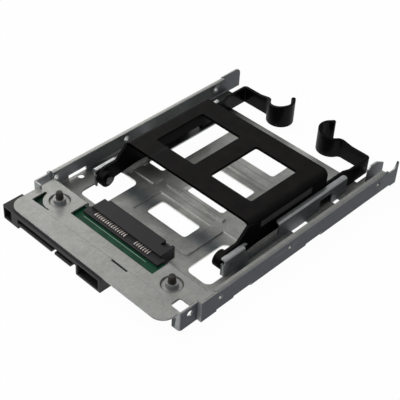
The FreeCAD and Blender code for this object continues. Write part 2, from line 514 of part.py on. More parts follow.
# Adapter board under the deck, with its two screws driven up from below
holes = [post("BoardHole" + side, "%d*bossAcross" % sign, "bossAlong", "boardUnder-gauge", "boardTop+gauge",
              "screwRadius+boardHolePlay") for side, sign in sides]
board = take("adapter_board", pad("BoardPlan", "XY",
                                  plate("-boardLeft", "boardRight", "boardFront", "boardRear"),
                                  "boardUnder", "boardTop"), *holes)
screwSection = (("socketRadius", "screwFoot", "0"), ("screwHead", "screwFoot", "0"),
                ("screwHead", "boardUnder", "0"),
                ("screwRadius", "boardUnder", "0"), ("screwRadius", "screwTip", "0"), ("0", "screwTip", "0"),
                ("0", "screwFoot+socketDeep", "0"), ("socketRadius", "screwFoot+socketDeep", "0"))
screws = doc.addObject("Part::Compound", "board_screws")
screws.Links = [turned("Screw" + side, screwSection, "%d*bossAcross" % sign, "bossAlong", "0")
                for side, sign in sides]
nodes = [tray, board, screws]

# Drive receptacle: it straddles the rear edge of the board
housing = join("SockSolid",
               pad("SockShelf", "XY", plate("-sockLeft", "sockRight", "sockFront", "sockStep"),
                   "sockFoot", "sockShelf"),
               pad("SockMain", "XY", (("-hornLeft", "sockStep-gauge", "0"),
                                      ("hornRight", "sockStep-gauge", "0"),
                                      ("hornRight", "sockRear", "0"), ("-sockMain", "sockRear", "0"),
                                      ("-sockMain", "sockRear-hornBack", "0"),
                                      ("-hornLeft", "sockRear-hornBack", "0")), "sockFoot", "sockTop"))
slots = [pad("Sock" + name, "XZ", plate(first + "-slotEnd", last + "+slotEnd", "slotFoot", "slotHead"),
             "sockRear-slotDeep", "sockRear+gauge")
         for name, first, last in (("Power", "sockPinFirst", "powerEnd"),
                                   ("Signal", "signalFirst", "signalEnd"))]
boardRoom = plate("-boardLeft", "boardRight", "boardFront", "boardRear")
nodes.append(take("receptacle_housing", housing,
                  pad("SockBoardRoom", "XY", boardRoom, "boardUnder", "boardTop"),
                  pad("SockKey", "XY", plate("keyInner", "keyOuter", "sockRear-keyDeep", "sockRear+gauge"),
                      "sockShelf", "sockTop+gauge"), *slots))
finger = (("sockFront+contactLead", "sockShelf", "0"),
          ("sockFront+contactLead+contactLong", "sockShelf", "0"),
          ("sockFront+contactLead+contactLong", "sockShelf+contactTall", "0"),
          ("sockFront+contactLead+contactNose", "sockShelf+contactTall", "0"),
          ("sockFront+contactLead", "sockShelf+contactTall-contactNose", "0"))
for name, first in (("power", "sockPinFirst"), ("signal", "signalFirst")):
    nodes.append(row_of("receptacle_%s_contacts" % name, "YZ", finger, first + "-fingerWide/2",
                        first + "+fingerWide/2", pinCounts[name], "pitch"))

# Host plug at the front edge: hollow end blocks, a roof and back, and two tongues with lead-in noses
roof = (("plugFront", "plugTop", "0"), ("plugFront", "plugTop-plugRoof", "0"),
        ("plugBack-plugWall", "plugTop-plugRoof", "0"), ("plugBack-plugWall", "tongueFoot", "0"),
        ("plugBack", "tongueFoot", "0"), ("plugBack", "plugTop", "0"))
tongue = (("plugFront", "tongueFoot", "0"), ("plugBack", "tongueFoot", "0"), ("plugBack", "tongueTop", "0"),
          ("plugFront+tongueNose", "tongueTop", "0"), ("plugFront", "tongueTop-tongueNose", "0"))
plug = join("PlugSolid",
            pad("PlugBlockLeft", "XZ", plate("-plugLeft", "tongueStart", "0", "plugTop"),
                "plugFront", "plugFront+plugLongLeft"),
            pad("PlugBlockRight", "XZ", plate("plugMid", "plugRight", "plugFootRight", "plugTop"),
                "plugFront", "plugFront+plugLongRight"),
            pad("PlugRoof", "YZ", roof, "tongueStart", "plugMid"),
            pad("PowerTongue", "YZ", tongue, "tongueStart", "tongueStart+powerTongue"),
            pad("SignalTongue", "YZ", tongue, "tongueMid", "tongueMid+signalTongue"))
hollowLeft = plate("hollowInset-plugLeft", "hollowInset+hollowWide-plugLeft", "plugShell",
                   "plugTop-plugShell")
hollowRight = plate("plugMid+plugShell", "plugRight-plugShell", "plugFootRight+plugShell",
                    "plugTop-plugShell")
nodes.append(take("plug_housing", plug, pad("PlugBoardRoom", "XY", boardRoom, "boardUnder", "boardTop"),
                  pad("PlugHollowLeft", "XZ", hollowLeft, "plugFront-gauge", "plugFront+plugHollow"),
                  pad("PlugHollowRight", "XZ", hollowRight, "plugFront-gauge", "plugFront+plugHollow")))
blade = plate("plugFront+plugPinLead", "plugBack-plugWall", "tongueFoot-plugPinTall", "tongueFoot")
for name, first in (("power", "tongueStart+powerPinInset"), ("signal", "tongueMid+signalPinInset")):
    nodes.append(row_of("plug_%s_contacts" % name, "YZ", blade, first + "-bladeWide/2",
                        first + "+bladeWide/2",
                        pinCounts[name], "pitch"))

# Hinged retainer: a windowed plate with bent flanks in one section, hinge arms and the two spring hooks
plateBody = pad("PlateSection", "XZ", (
    ("-plateHalf", "flankFoot", "0"), ("-flankWall", "flankFoot", "0"),
    ("-flankWall", "plateUnder", "bendHollow"),
    ("flankWall", "plateUnder", "bendHollow"), ("flankWall", "flankFoot", "0"),
    ("plateHalf", "flankFoot", "0"),
    ("plateHalf", "plateTop", "bendRadius"), ("-plateHalf", "plateTop", "bendRadius")),
    "plateFront", "plateRear")
eyes = []
for side, sign in sides:
    x0, x1 = across(sign, "eyeInner", "eyeInner+eyeWide")
    eyes.append(pad("Eye" + side, "XY", plate(x0, x1, "plateFront+eyeLead", "plateFront+eyeLead+eyeLong",
                                              "eyeRound"),
                    "plateUnder-gauge", "plateTop+gauge"))
    x0, x1 = across(sign, "plateHalf-grooveDeep", "plateHalf+gauge")
    eyes.append(pad("Groove" + side, "YZ", plate("plateFront+grooveLead", "plateFront+grooveLead+grooveLong",
                                                 "grooveFoot", "grooveTop"), x0, x1))
arm = pad("HingeArm", "YZ", (
    ("chestAlong", "chestUp", "0"), ("heelAlong", "heelUp", "0"), ("plateFront+armRoot", "flankFoot", "0"),
    ("plateFront+armRoot", "bendUp", "0"), ("plateFront", "bendUp+armRise", "0"),
    ("plateFront-armSlope", "armUp", "0"), ("pivotAlong+armLead", "armUp", "0")), "flankWall", "plateHalf")
knuckle = turned("Knuckle", (
    ("knuckleBore", "0", "0"), ("knuckleRadius", "0", "0"), ("knuckleRadius", "knuckleWide", "0"),
    ("knuckleBore", "knuckleWide", "0")), "knuckleInner", "pivotAlong", "pivotUp", (0, 1, 0), 90)
tail = pad("HookArm", "XY", (
    ("flankWall", "plateRear-bendRadius", "0"), ("plateHalf", "plateRear-bendRadius", "0"),
    ("plateHalf", "jogAlong", "0"), ("hookHalf", "jogAlong+jogLong", "0"),
    ("hookHalf", "hookRear-hookCorner", "0"),
    ("hookHalf-hookThick", "hookRear-hookCorner", "0"), ("hookHalf-hookThick", "jogAlong+jogLong", "0"),
    ("flankWall", "jogAlong", "0")), "hookFoot", "armTop")

# the hook follows one path in plan: elbow, straight reach, a reverse bend and the finger cup
pathBody = doc.addObject("PartDesign::Body", "HookPath")
path = newSketch(pathBody, "XY")
spot = FreeCAD.Vector
ringOf = Part.Circle
up = spot(0, 0, 1)
lean = math.radians(value("swanLean"))
elbowAcross, elbowAlong = value("hookHalf-hookCorner"), value("hookRear-hookCorner")
elbowRing = ringOf(spot(elbowAcross, elbowAlong, 0), up, value("hookCorner-hookThick/2"))
swanRing = ringOf(spot(value("swanAcross"), value("swanAlong"), 0), up, value("swanMid"))
cupRing = ringOf(spot(value("cupAcross"), value("cupAlong"), 0), up, value("cupMid"))
path.addGeometry(Part.ArcOfCircle(elbowRing, 0, math.pi / 2))
path.addGeometry(Part.LineSegment(spot(elbowAcross, value("bandMid"), 0),
                                  spot(value("swanAcross"), value("bandMid"), 0)))
path.addGeometry(Part.ArcOfCircle(swanRing, math.pi / 2, math.pi - lean))
path.addGeometry(Part.ArcOfCircle(cupRing, math.radians(value("tipTurn")), 2 * math.pi - lean))
rule = Sketcher.Constraint
path.addConstraint([rule("Tangent", 0, 2, 1, 1), rule("Horizontal", 1), rule("Tangent", 1, 2, 2, 1),
                    rule("Tangent", 2, 2, 3, 2)])
for kind, ends, text in (("DistanceX", (-1, 1, 0, 3), "hookHalf-hookCorner"),
                         ("DistanceY", (-1, 1, 0, 3), "hookRear-hookCorner"),
                         ("Radius", (0,), "hookCorner-hookThick/2"), ("Radius", (2,), "swanMid"),
                         ("Radius", (3,), "cupMid"), ("DistanceX", (-1, 1, 3, 3), "cupAcross"),
                         ("DistanceY", (-1, 1, 3, 3), "cupAlong"),
                         ("DistanceY", (-1, 1, 0, 1), "hookRear-hookCorner"),
                         ("DistanceX", (-1, 1, 3, 1), "tipAcross")):
    hold(path, kind, ends, text)
sectionBody = doc.addObject("PartDesign::Body", "HookSection")
section = draw(sectionBody, "XZ", plate("hookHalf-hookThick", "hookHalf", "hookFoot", "hookTop"))
section.setExpression("AttachmentOffset.Base.z", ref("hookCorner-hookRear"))
doc.recompute()
sweep = doc.addObject("Part::Sweep", "HookSweep")
sweep.Sections = [section]
sweep.Spine = (path, ["Edge1", "Edge2", "Edge3", "Edge4"])
sweep.Solid = True
sweep.Frenet = False
bead = post("TipBead", "tipAcross", "tipAlong", "hookFoot", "hookTop", "tipBead")
slope = pad("HookSlope", "XZ", (
    ("slopeEnd", "hookTop", "0"), ("slopeStart", "armTop", "0"), ("hookHalf+gauge", "armTop", "0"),
    ("hookHalf+gauge", "hookTop+gauge", "0"), ("slopeEnd", "hookTop+gauge", "0")),
    "cupAlong-cupMid-hookThick", "cupAlong+gauge")
hook = take("HookBand", join("HookSolid", sweep, bead), slope)
rightSide = take("RightSide", join("RightSolid", arm, knuckle, tail, hook),
                 axle("KnuckleWay", "knuckleInner-gauge", "plateHalf+gauge", "pivotAlong", "pivotUp",
                      "knuckleBore"))
nodes.append(join("retainer_frame", take("PlateWindows", plateBody, *eyes),
                  rightSide, mirrored("LeftSide", rightSide)))

# Hinge pins: turned, headed inside the knuckle and flush with the outside of the ear
pinSection = (("0", "0", "0"), ("pinHead", "0", "0"), ("pinHead", "pinHeadLong", "0"),
              ("pinRadius", "pinHeadLong", "0"), ("pinRadius", "wallOuter-pinStart", "0"),
              ("0", "wallOuter-pinStart", "0"))
rightPin = turned("right_hinge_pin", pinSection, "pinStart", "pivotAlong", "pivotUp", (0, 1, 0), 90)
nodes += [turned("left_hinge_pin", pinSection, "-pinStart", "pivotAlong", "pivotUp", (0, 1, 0), -90),
          rightPin]

doc.recompute()
for node in nodes:
    node.Label = node.Name
    already = [text for path, text in node.ExpressionEngine if path.endswith("Placement.Base.y")]
    node.setExpression("Placement.Base.y", " - ".join(already + ["Dims.datum"]) if already else "-Dims.datum")
doc.recompute()
for thing in doc.Objects:
    if "Invalid" in thing.State or "Error" in thing.State:
        raise RuntimeError("not built: " + thing.Name)
for node in nodes:
    if node.Shape.isNull() or not node.Shape.isValid():
        raise RuntimeError("bad shape: " + node.Label)
    node.Shape.exportStep("parts/%s.step" % node.Label)
    bound = node.Shape.BoundBox
    print(node.Label, len(node.Shape.Solids), round(node.Shape.Volume, 1), [round(v, 2) for v in (
        bound.XMin, bound.XMax, bound.YMin, bound.YMax, bound.ZMin, bound.ZMax)])
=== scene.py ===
import bpy
import math
from mathutils import Matrix, Vector
from mathutils.bvhtree import BVHTree


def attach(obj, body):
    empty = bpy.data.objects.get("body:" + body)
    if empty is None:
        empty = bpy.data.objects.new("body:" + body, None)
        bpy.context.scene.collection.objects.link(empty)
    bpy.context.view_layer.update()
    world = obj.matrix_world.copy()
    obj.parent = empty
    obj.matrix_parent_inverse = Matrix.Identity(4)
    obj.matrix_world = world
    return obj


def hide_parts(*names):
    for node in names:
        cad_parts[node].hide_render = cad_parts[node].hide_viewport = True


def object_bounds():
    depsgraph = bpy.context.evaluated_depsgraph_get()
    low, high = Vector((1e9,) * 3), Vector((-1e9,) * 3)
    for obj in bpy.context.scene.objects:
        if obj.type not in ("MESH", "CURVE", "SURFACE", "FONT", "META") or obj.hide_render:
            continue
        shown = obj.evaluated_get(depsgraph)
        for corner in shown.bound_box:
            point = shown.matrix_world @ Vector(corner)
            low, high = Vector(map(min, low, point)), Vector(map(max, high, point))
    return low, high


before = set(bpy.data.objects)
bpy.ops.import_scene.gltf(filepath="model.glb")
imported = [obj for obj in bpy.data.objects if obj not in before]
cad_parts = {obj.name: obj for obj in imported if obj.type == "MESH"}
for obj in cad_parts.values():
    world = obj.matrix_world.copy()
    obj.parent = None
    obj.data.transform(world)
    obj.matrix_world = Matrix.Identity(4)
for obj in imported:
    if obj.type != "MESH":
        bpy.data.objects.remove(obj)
cadLow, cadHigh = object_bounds()
mm = 0.001
datum = 73.9  # lengths along the part run from the connector end, the frame's from the middle
print("frame loaded:", len(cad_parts), "nodes")


# small helpers for working by hand

def putDown():
    if bpy.context.mode != "OBJECT":
        bpy.ops.object.mode_set(mode="OBJECT")
    bpy.ops.object.select_all(action="DESELECT")


def pickUp(piece):
    putDown()
    piece.select_set(True)
    bpy.context.view_layer.objects.active = piece


def applied(piece, kind, **settings):
    pickUp(piece)
    tool = piece.modifiers.new(kind.lower(), kind)
    for key, setting in settings.items():
        setattr(tool, key, setting)
    bpy.ops.object.modifier_apply(modifier=tool.name)


def smoothed(piece, angle=32):
    pickUp(piece)
    bpy.ops.object.shade_smooth_by_angle(angle=math.radians(angle))


def settled(piece):
    # place, turn and size go into the mesh
    pickUp(piece)
    bpy.ops.object.transform_apply(location=True, rotation=True, scale=True)
    return piece


def joined(keeper, *others):
    pickUp(keeper)
    for piece in others:
        piece.select_set(True)
    bpy.ops.object.join()
    return keeper


def cutAway(piece, cutter):
    applied(piece, "BOOLEAN", operation="DIFFERENCE", object=cutter, solver="EXACT")
    bpy.data.objects.remove(cutter)
    return piece


def chosen(piece, kind, test):
    # selects the corners or faces that the test picks, and stays in edit mode
    pickUp(piece)
    bpy.ops.object.mode_set(mode="EDIT")
    bpy.ops.mesh.select_mode(type=kind)
    bpy.ops.mesh.select_all(action="DESELECT")
    bpy.ops.object.mode_set(mode="OBJECT")
    for part in piece.data.polygons if kind == "FACE" else piece.data.vertices:
        part.select = test(part)
    bpy.ops.object.mode_set(mode="EDIT")


def shifted(piece, shift, test):
    chosen(piece, "VERT", lambda corner: test(corner.co / mm))
    bpy.ops.transform.translate(value=shift)
    bpy.ops.object.mode_set(mode="OBJECT")


def roundedEnd(piece, side, radius, segments):
    # breaks the rim of the end that looks up, side 1, or down, side -1
    chosen(piece, "FACE", lambda face: side * face.normal.z > 0.9)
    bpy.ops.mesh.bevel(offset=radius * mm, segments=segments, affect="EDGES")
    bpy.ops.object.mode_set(mode="OBJECT")


# dressing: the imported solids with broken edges

dressPlan = {"weld": 0.002, "flatAngle": 0.5, "sharpAngle": 38, "lean": 0.5, "outsideShare": 0.5}


def weldedCopy(node, name):
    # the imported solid, welded, with its flat triangles merged
    piece = bpy.data.objects.new(name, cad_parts[node].data.copy())
    bpy.context.scene.collection.objects.link(piece)
    pickUp(piece)
    bpy.ops.mesh.customdata_custom_splitnormals_clear()
    bpy.ops.object.mode_set(mode="EDIT")
    bpy.ops.mesh.select_all(action="SELECT")
    bpy.ops.mesh.remove_doubles(threshold=dressPlan["weld"] * mm)
    bpy.ops.mesh.dissolve_limited(angle_limit=math.radians(dressPlan["flatAngle"]))
    bpy.ops.object.mode_set(mode="OBJECT")
    return piece


def pulledBack(piece, solid, edge):
    # where two broken edges run into each other, the corner goes back onto the solid and into its box
    skin = BVHTree.FromPolygons([corner.co for corner in solid.vertices],
                                [face.vertices for face in solid.polygons])
    for corner in piece.data.vertices:
        spot, normal, _, far = skin.find_nearest(corner.co)
        outside = (corner.co - spot).dot(normal) > -dressPlan["lean"] * far
        if far > (dressPlan["outsideShare"] * edge if outside else edge):
            corner.co = spot
        corner.co = [min(max(c, least), most) for c, least, most in zip(corner.co, cadLow, cadHigh)]


def brokenEdges(piece, node, edge, segments=2):
    applied(piece, "BEVEL", width=edge * mm, segments=segments, limit_method="ANGLE",
            angle_limit=math.radians(dressPlan["sharpAngle"]), use_clamp_overlap=False)
    pulledBack(piece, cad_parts[node].data, edge * mm)
    smoothed(piece)
    applied(piece, "WEIGHTED_NORMAL", keep_sharp=True)  # flat sheet stays flat right up to its broken edges
    return piece


def dressedCopy(node, name, edge, segments=2):
    return brokenEdges(weldedCopy(node, name), node, edge, segments)


def fitted(piece, body, slot, finish, *nodes):
    piece.data.materials.clear()
    piece.data.materials.append(finish)
    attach(piece, body)
    if nodes:
        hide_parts(*nodes)
    return piece


# shader helpers: an entry is a socket, which is wired, or a number or colour, which is set

nodeGrid = {"rows": 8, "wide": 220, "tall": 260}
midNoise = (0.3, 0.7)  # most of a noise's values lie between these


def put(tree, kind, **settings):
    # nodes stand in columns, in the order they come
    column, row = divmod(len(tree.nodes), nodeGrid["rows"])
    shape = tree.nodes.new(kind)
    shape.location = (column * nodeGrid["wide"], -row * nodeGrid["tall"])
    for key, setting in settings.items():
        setattr(shape, key, setting)
    return shape


def feed(tree, entry, socket):
    if isinstance(entry, bpy.types.NodeSocket):
        tree.links.new(entry, socket)
    else:
        socket.default_value = entry


def newTree(owner):
    owner.use_nodes = True
    owner.node_tree.nodes.clear()
    return owner.node_tree


def newFinish(name):
    finish = bpy.data.materials.new(name)
    tree = newTree(finish)
    spot = put(tree, "ShaderNodeTexCoord")
    shader = put(tree, "ShaderNodeBsdfPrincipled")
    feed(tree, shader.outputs[0], put(tree, "ShaderNodeOutputMaterial").inputs["Surface"])
    return finish, tree, shader, spot


def newGroup(name, inputs, outputs):
    group = bpy.data.node_groups.new(name, "ShaderNodeTree")
    for label, kind, start in inputs:
        socket = group.interface.new_socket(label, in_out="INPUT", socket_type=kind)
        if start is not None:
            socket.default_value = start
    for label, kind in outputs:
        group.interface.new_socket(label, in_out="OUTPUT", socket_type=kind)
    return group, put(group, "NodeGroupInput").outputs, put(group, "NodeGroupOutput").inputs


def useGroup(tree, group, spot, **settings):
    shape = put(tree, "ShaderNodeGroup", node_tree=group)
    feed(tree, spot.outputs["Object"], shape.inputs["Spot"])
    for key, setting in settings.items():
        feed(tree, setting, shape.inputs[key])
    return shape.outputs


def axesOf(tree, spot, kind):
    shape = put(tree, "ShaderNodeSeparateXYZ")
    feed(tree, spot.outputs[kind], shape.inputs[0])
    return shape.outputs


def noised(tree, where, scale, detail=2):
    shape = put(tree, "ShaderNodeTexNoise")
    for key, entry in (("Vector", where), ("Scale", scale), ("Detail", detail)):
        feed(tree, entry, shape.inputs[key])
    return shape.outputs["Fac"]


def mixColour(tree, mask, low, high, blend="MIX"):
    shape = put(tree, "ShaderNodeMix", data_type="RGBA", blend_type=blend)
    feed(tree, mask, shape.inputs[0])
    for index, entry in ((6, low), (7, high)):
        feed(tree, (*entry, 1) if isinstance(entry, tuple) else entry, shape.inputs[index])
    return shape.outputs[2]


def ranged(tree, source, low, high, start=0.0, stop=1.0, soft=False):
    shape = put(tree, "ShaderNodeMapRange")
    if soft:
        shape.interpolation_type = "SMOOTHSTEP"
    for index, entry in enumerate((source, low, high, start, stop)):
        feed(tree, entry, shape.inputs[index])
    return shape.outputs[0]


def counted(tree, kind, *entries):
    shape = put(tree, "ShaderNodeMath", operation=kind)
    for index, entry in enumerate(entries):
        feed(tree, entry, shape.inputs[index])
    return shape.outputs[0]


def times(tree, product, *others):
    for entry in others:
        product = counted(tree, "MULTIPLY", product, entry)
    return product


def unless(tree, mask):
    return counted(tree, "SUBTRACT", 1.0, mask)


def over(tree, axis, place):
    # 1 past a place along an axis, in millimetres of the frame
    return counted(tree, "GREATER_THAN", axis, place * mm)


def below(tree, axis, place):
    return counted(tree, "LESS_THAN", axis, place * mm)


def span(tree, axis, low, high):
    return times(tree, over(tree, axis, low), below(tree, axis, high))


def thinLine(tree, axis, along, half):
    return span(tree, axis, *fromFront(along - half, along + half))


def ramp(tree, axis, places, start=0.0, stop=1.0, soft=False):
    low, high = places
    return ranged(tree, axis, low * mm, high * mm, start, stop, soft)


def fromFront(*places):
    # millimetres from the connector end, as the frame counts them
    return [place - datum for place in places]


def mixedTone(tree, source, low, high, share=1.0):
    return mixColour(tree, ranged(tree, source, *midNoise, 0.0, share), low, high)


def bodyTone(tree, source, look):
    least, most = [tuple(share * c for c in look["body"]) for share in look["bodyShares"]]
    return mixedTone(tree, source, least, most)


def faded(tree, gain, mask, level):
    # the gain, times the level where the mask is 1
    return times(tree, gain, ranged(tree, mask, 0.0, 1.0, 1.0, level))


def bumped(tree, shader, height, look):
    shape = put(tree, "ShaderNodeBump")
    shape.inputs["Strength"].default_value = look["bumpStrength"]
    shape.inputs["Distance"].default_value = look["bumpDepth"] * mm
    feed(tree, height, shape.inputs["Height"])
    feed(tree, shape.outputs[0], shader.inputs["Normal"])


# shared effects

grainPlan = {"stretch": (1.0, 0.06, 1.0), "lineDetail": 4, "cloudDetail": 3, "cloudScale": 0.12}
rolledGrain, gate, end = newGroup(
    "rolledGrain", [("Spot", "NodeSocketVector", None), ("Scale", "NodeSocketFloat", 900.0)],
    [("Grain", "NodeSocketFloat"), ("Cloud", "NodeSocketFloat")])
stretch = put(rolledGrain, "ShaderNodeMapping")
stretch.inputs["Scale"].default_value = grainPlan["stretch"]
feed(rolledGrain, gate["Spot"], stretch.inputs["Vector"])
lines = noised(rolledGrain, stretch.outputs[0], gate["Scale"], grainPlan["lineDetail"])
cloudScale = times(rolledGrain, gate["Scale"], grainPlan["cloudScale"])
feed(rolledGrain, lines, end["Grain"])
feed(rolledGrain, noised(rolledGrain, gate["Spot"], cloudScale, grainPlan["cloudDetail"]), end["Cloud"])

scuffPlan = {"lays": ((0.5, 0.0), (-0.9, 0.31), (1.9, 0.77)), "tilt": (0.2, 0.1),
             "stretch": (1.0, 0.04, 0.4), "noise": (0.68, 0.74)}
scuffMarks, gate, end = newGroup(
    "scuffMarks", [("Spot", "NodeSocketVector", None), ("Scale", "NodeSocketFloat", 300.0),
                   ("Amount", "NodeSocketFloat", 0.1)], [("Scuff", "NodeSocketFloat")])
marks = []
for turn, offset in scuffPlan["lays"]:
    lay = put(scuffMarks, "ShaderNodeMapping")
    lay.inputs["Rotation"].default_value = (*scuffPlan["tilt"], turn)
    lay.inputs["Scale"].default_value = scuffPlan["stretch"]
    lay.inputs["Location"].default_value = (offset, offset, offset)
    feed(scuffMarks, gate["Spot"], lay.inputs["Vector"])
    marks.append(ranged(scuffMarks, noised(scuffMarks, lay.outputs[0], gate["Scale"]), *scuffPlan["noise"]))
most = counted(scuffMarks, "MAXIMUM", counted(scuffMarks, "MAXIMUM", marks[0], marks[1]), marks[2])
feed(scuffMarks, times(scuffMarks, most, gate["Amount"]), end["Scuff"])

mouldPlan = {"flowScale": 0.06, "flowDetail": 5}
mouldGrain, gate, end = newGroup(
    "mouldGrain", [("Spot", "NodeSocketVector", None), ("Scale", "NodeSocketFloat", 1600.0)],
    [("Tone", "NodeSocketFloat"), ("Height", "NodeSocketFloat")])
pebble = put(mouldGrain, "ShaderNodeTexVoronoi", feature="SMOOTH_F1")
feed(mouldGrain, gate["Spot"], pebble.inputs["Vector"])
feed(mouldGrain, gate["Scale"], pebble.inputs["Scale"])
flowScale = times(mouldGrain, gate["Scale"], mouldPlan["flowScale"])
feed(mouldGrain, noised(mouldGrain, gate["Spot"], flowScale, mouldPlan["flowDetail"]), end["Tone"])
feed(mouldGrain, pebble.outputs["Distance"], end["Height"])
print("shared effects made")

# finishes

zincLook = {
    "top": (0.345, 0.343, 0.322), "inside": (0.36, 0.375, 0.385), "uprightTilt": (0.1, 0.9),
    "flank": (0.165, 0.174, 0.184), "flankFrom": 39.0, "ear": (0.25, 0.26, 0.266), "earUpTo": 56.0,
    "side": (0.072, 0.077, 0.090), "sideFrom": 47.5,
    "step": (0.72, 0.72, 0.70), "stepWithin": 34.0, "stepUpTo": 1.75,
    "fold": (0.36, 0.37, 0.375), "foldFrom": 46.0, "foldTilt": (-0.9, -0.4),
    "tail": (0.10, 0.108, 0.116), "tailAlong": (128.0, 134.0),
    "lip": (0.47, 0.48, 0.475), "wallFrom": 36.0, "lipOver": 9.0, "lipTilt": (0.2, 0.8),
    "shade": (0.075, 0.079, 0.083), "shadeUpTo": 6.0,
    "rim": (0.62, 0.62, 0.60), "rimAcross": (-10.5, -8.6), "rimAlong": (69.3, 91.0), "rimShare": 0.8,
    "dish": (0.09, 0.09, 0.085), "dishAcross": 34.0, "dishAlong": 18.0, "dishRadius": 4.4,
    "dishWide": (0.2, 0.6), "dishShare": 0.7,
    "floorUpTo": 2.5, "bandMid": 51.0, "bandHalf": 7.0, "bandShade": 0.55,
    "rearGain": 1.5, "rearAlong": (54.0, 62.0), "cool": (0.245, 0.275, 0.285), "coolShare": 0.9,
    "corner": 0.42, "cornerAcross": (-29.0, -8.0), "cornerAlong": (111.0, 117.0),
    "under": 0.34, "underAcross": (33.0, 35.0), "underWall": 39.8,
    "underFront": (44.0, 60.0), "underRear": (112.0, 126.0),
    "crease": 0.55, "creases": (63.4, 66.6, 93.6, 95.9, 101.0), "creaseHalf": 0.17,
    "creaseAcross": (-13.5, 14.5),
    "blotch": (0.80, 1.16), "blotchNoise": (0.35, 0.65), "blotchScale": 420.0,
    "spangleScale": 900.0, "spangleTone": (0.90, 1.09), "grainScale": 1500.0, "grainTone": (0.97, 1.03),
    "cloudTone": (0.95, 1.05), "bare": (0.5, 0.5, 0.48), "scuffScale": 700.0, "scuffAmount": 0.12,
    "metallic": 0.8, "rough": (0.36, 0.42), "roughNoise": (0.25, 0.75), "uprightRough": 0.2,
    "scuffShine": 0.12, "bumpDepth": 0.01, "bumpStrength": 0.4}
zincSteel, tree, shader, spot = newFinish("zincSteel")
place = axesOf(tree, spot, "Object")
facing = axesOf(tree, spot, "Normal")
across = counted(tree, "ABSOLUTE", place["X"])
upright = ranged(tree, counted(tree, "ABSOLUTE", facing["Z"]), *zincLook["uprightTilt"], 1.0, 0.0, True)
outward = counted(tree, "GREATER_THAN", times(tree, place["X"], facing["X"]), 0.0)
away = times(tree, upright, outward)
inward = times(tree, upright, unless(tree, outward))
outer = over(tree, across, zincLook["sideFrom"])
wall = span(tree, across, zincLook["wallFrom"], zincLook["sideFrom"])

# painted light and shade on the tray's standing faces, later ones over earlier ones: the upright, flank,
# ear and outer side tones are set by which way each face looks
tone = mixColour(tree, upright, zincLook["top"], zincLook["inside"])
flank = times(tree, away, over(tree, across, zincLook["flankFrom"]))
tone = mixColour(tree, flank, tone, zincLook["flank"])
ear = times(tree, flank, below(tree, place["Y"], *fromFront(zincLook["earUpTo"])))
tone = mixColour(tree, ear, tone, zincLook["ear"])
tone = mixColour(tree, times(tree, away, outer), tone, zincLook["side"])
# painted highlight: the low standing walls of the floor's pressed steps are lighter
step = times(tree, upright, below(tree, across, zincLook["stepWithin"]),
             below(tree, place["Z"], zincLook["stepUpTo"]))
tone = mixColour(tree, step, tone, zincLook["step"])
# painted highlight: front-facing folds on the outer rails are lighter
fold = ranged(tree, facing["Y"], *zincLook["foldTilt"], 1.0, 0.0)
tone = mixColour(tree, times(tree, fold, over(tree, across, zincLook["foldFrom"])), tone, zincLook["fold"])
# painted shade: the outer rails' standing faces darken towards their rear ends
tail = ramp(tree, place["Y"], fromFront(*zincLook["tailAlong"]))
tone = mixColour(tree, times(tree, tail, upright, outer), tone, zincLook["tail"])
# painted highlight: the up-facing top lips of the inner walls are lighter
lip = times(tree, wall, over(tree, place["Z"], zincLook["lipOver"]),
            ranged(tree, facing["Z"], *zincLook["lipTilt"]))
tone = mixColour(tree, lip, tone, zincLook["lip"])
shade = times(tree, inward, wall, below(tree, place["Z"], zincLook["shadeUpTo"]))
tone = mixColour(tree, shade, tone, zincLook["shade"])
# painted highlight: a light strip along the left rim of the middle floor window
rim = times(tree, span(tree, place["X"], *zincLook["rimAcross"]),
            span(tree, place["Y"], *fromFront(*zincLook["rimAlong"])), zincLook["rimShare"])
tone = mixColour(tree, rim, tone, zincLook["rim"])

# painted shade: a dark ring round each screw collar, in the dish's steep wall
aside = counted(tree, "SUBTRACT", across, zincLook["dishAcross"] * mm)
beyond = counted(tree, "SUBTRACT", place["Y"], (zincLook["dishAlong"] - datum) * mm)
reach = counted(tree, "SQRT", counted(tree, "ADD", times(tree, aside, aside), times(tree, beyond, beyond)))
ring = counted(tree, "ABSOLUTE", counted(tree, "SUBTRACT", reach, zincLook["dishRadius"] * mm))
dish = times(tree, ramp(tree, ring, zincLook["dishWide"], 1.0, 0.0), zincLook["dishShare"])
tone = mixColour(tree, dish, tone, zincLook["dish"])

# spangle and rolling marks
flower = put(tree, "ShaderNodeTexVoronoi")
flower.inputs["Scale"].default_value = zincLook["spangleScale"]
feed(tree, spot.outputs["Object"], flower.inputs["Vector"])
grain = useGroup(tree, rolledGrain, spot, Scale=zincLook["grainScale"])
gain = times(tree, ranged(tree, flower.outputs["Color"], 0.0, 1.0, *zincLook["spangleTone"]),
             ranged(tree, grain["Grain"], *midNoise, *zincLook["grainTone"]),
             ranged(tree, grain["Cloud"], *midNoise, *zincLook["cloudTone"]))

# the low floor, painted reflection and shade: a dark cool band ahead of a lighter rear is a painted
# reflection, the dark under the flanks is painted shade, and the dark in one rear corner is a painted
# reflection
flat = times(tree, below(tree, place["Z"], zincLook["floorUpTo"]), unless(tree, upright))
offBand = counted(tree, "SUBTRACT", place["Y"], (zincLook["bandMid"] - datum) * mm)
offBand = counted(tree, "ABSOLUTE", offBand)
band = ramp(tree, offBand, (0.0, zincLook["bandHalf"]), zincLook["bandShade"], 1.0, True)
behind = ramp(tree, place["Y"], fromFront(*zincLook["rearAlong"]), 1.0, zincLook["rearGain"], True)
sheen = counted(tree, "SUBTRACT", times(tree, band, behind), 1.0)
gain = times(tree, gain, counted(tree, "ADD", 1.0, times(tree, flat, sheen)))
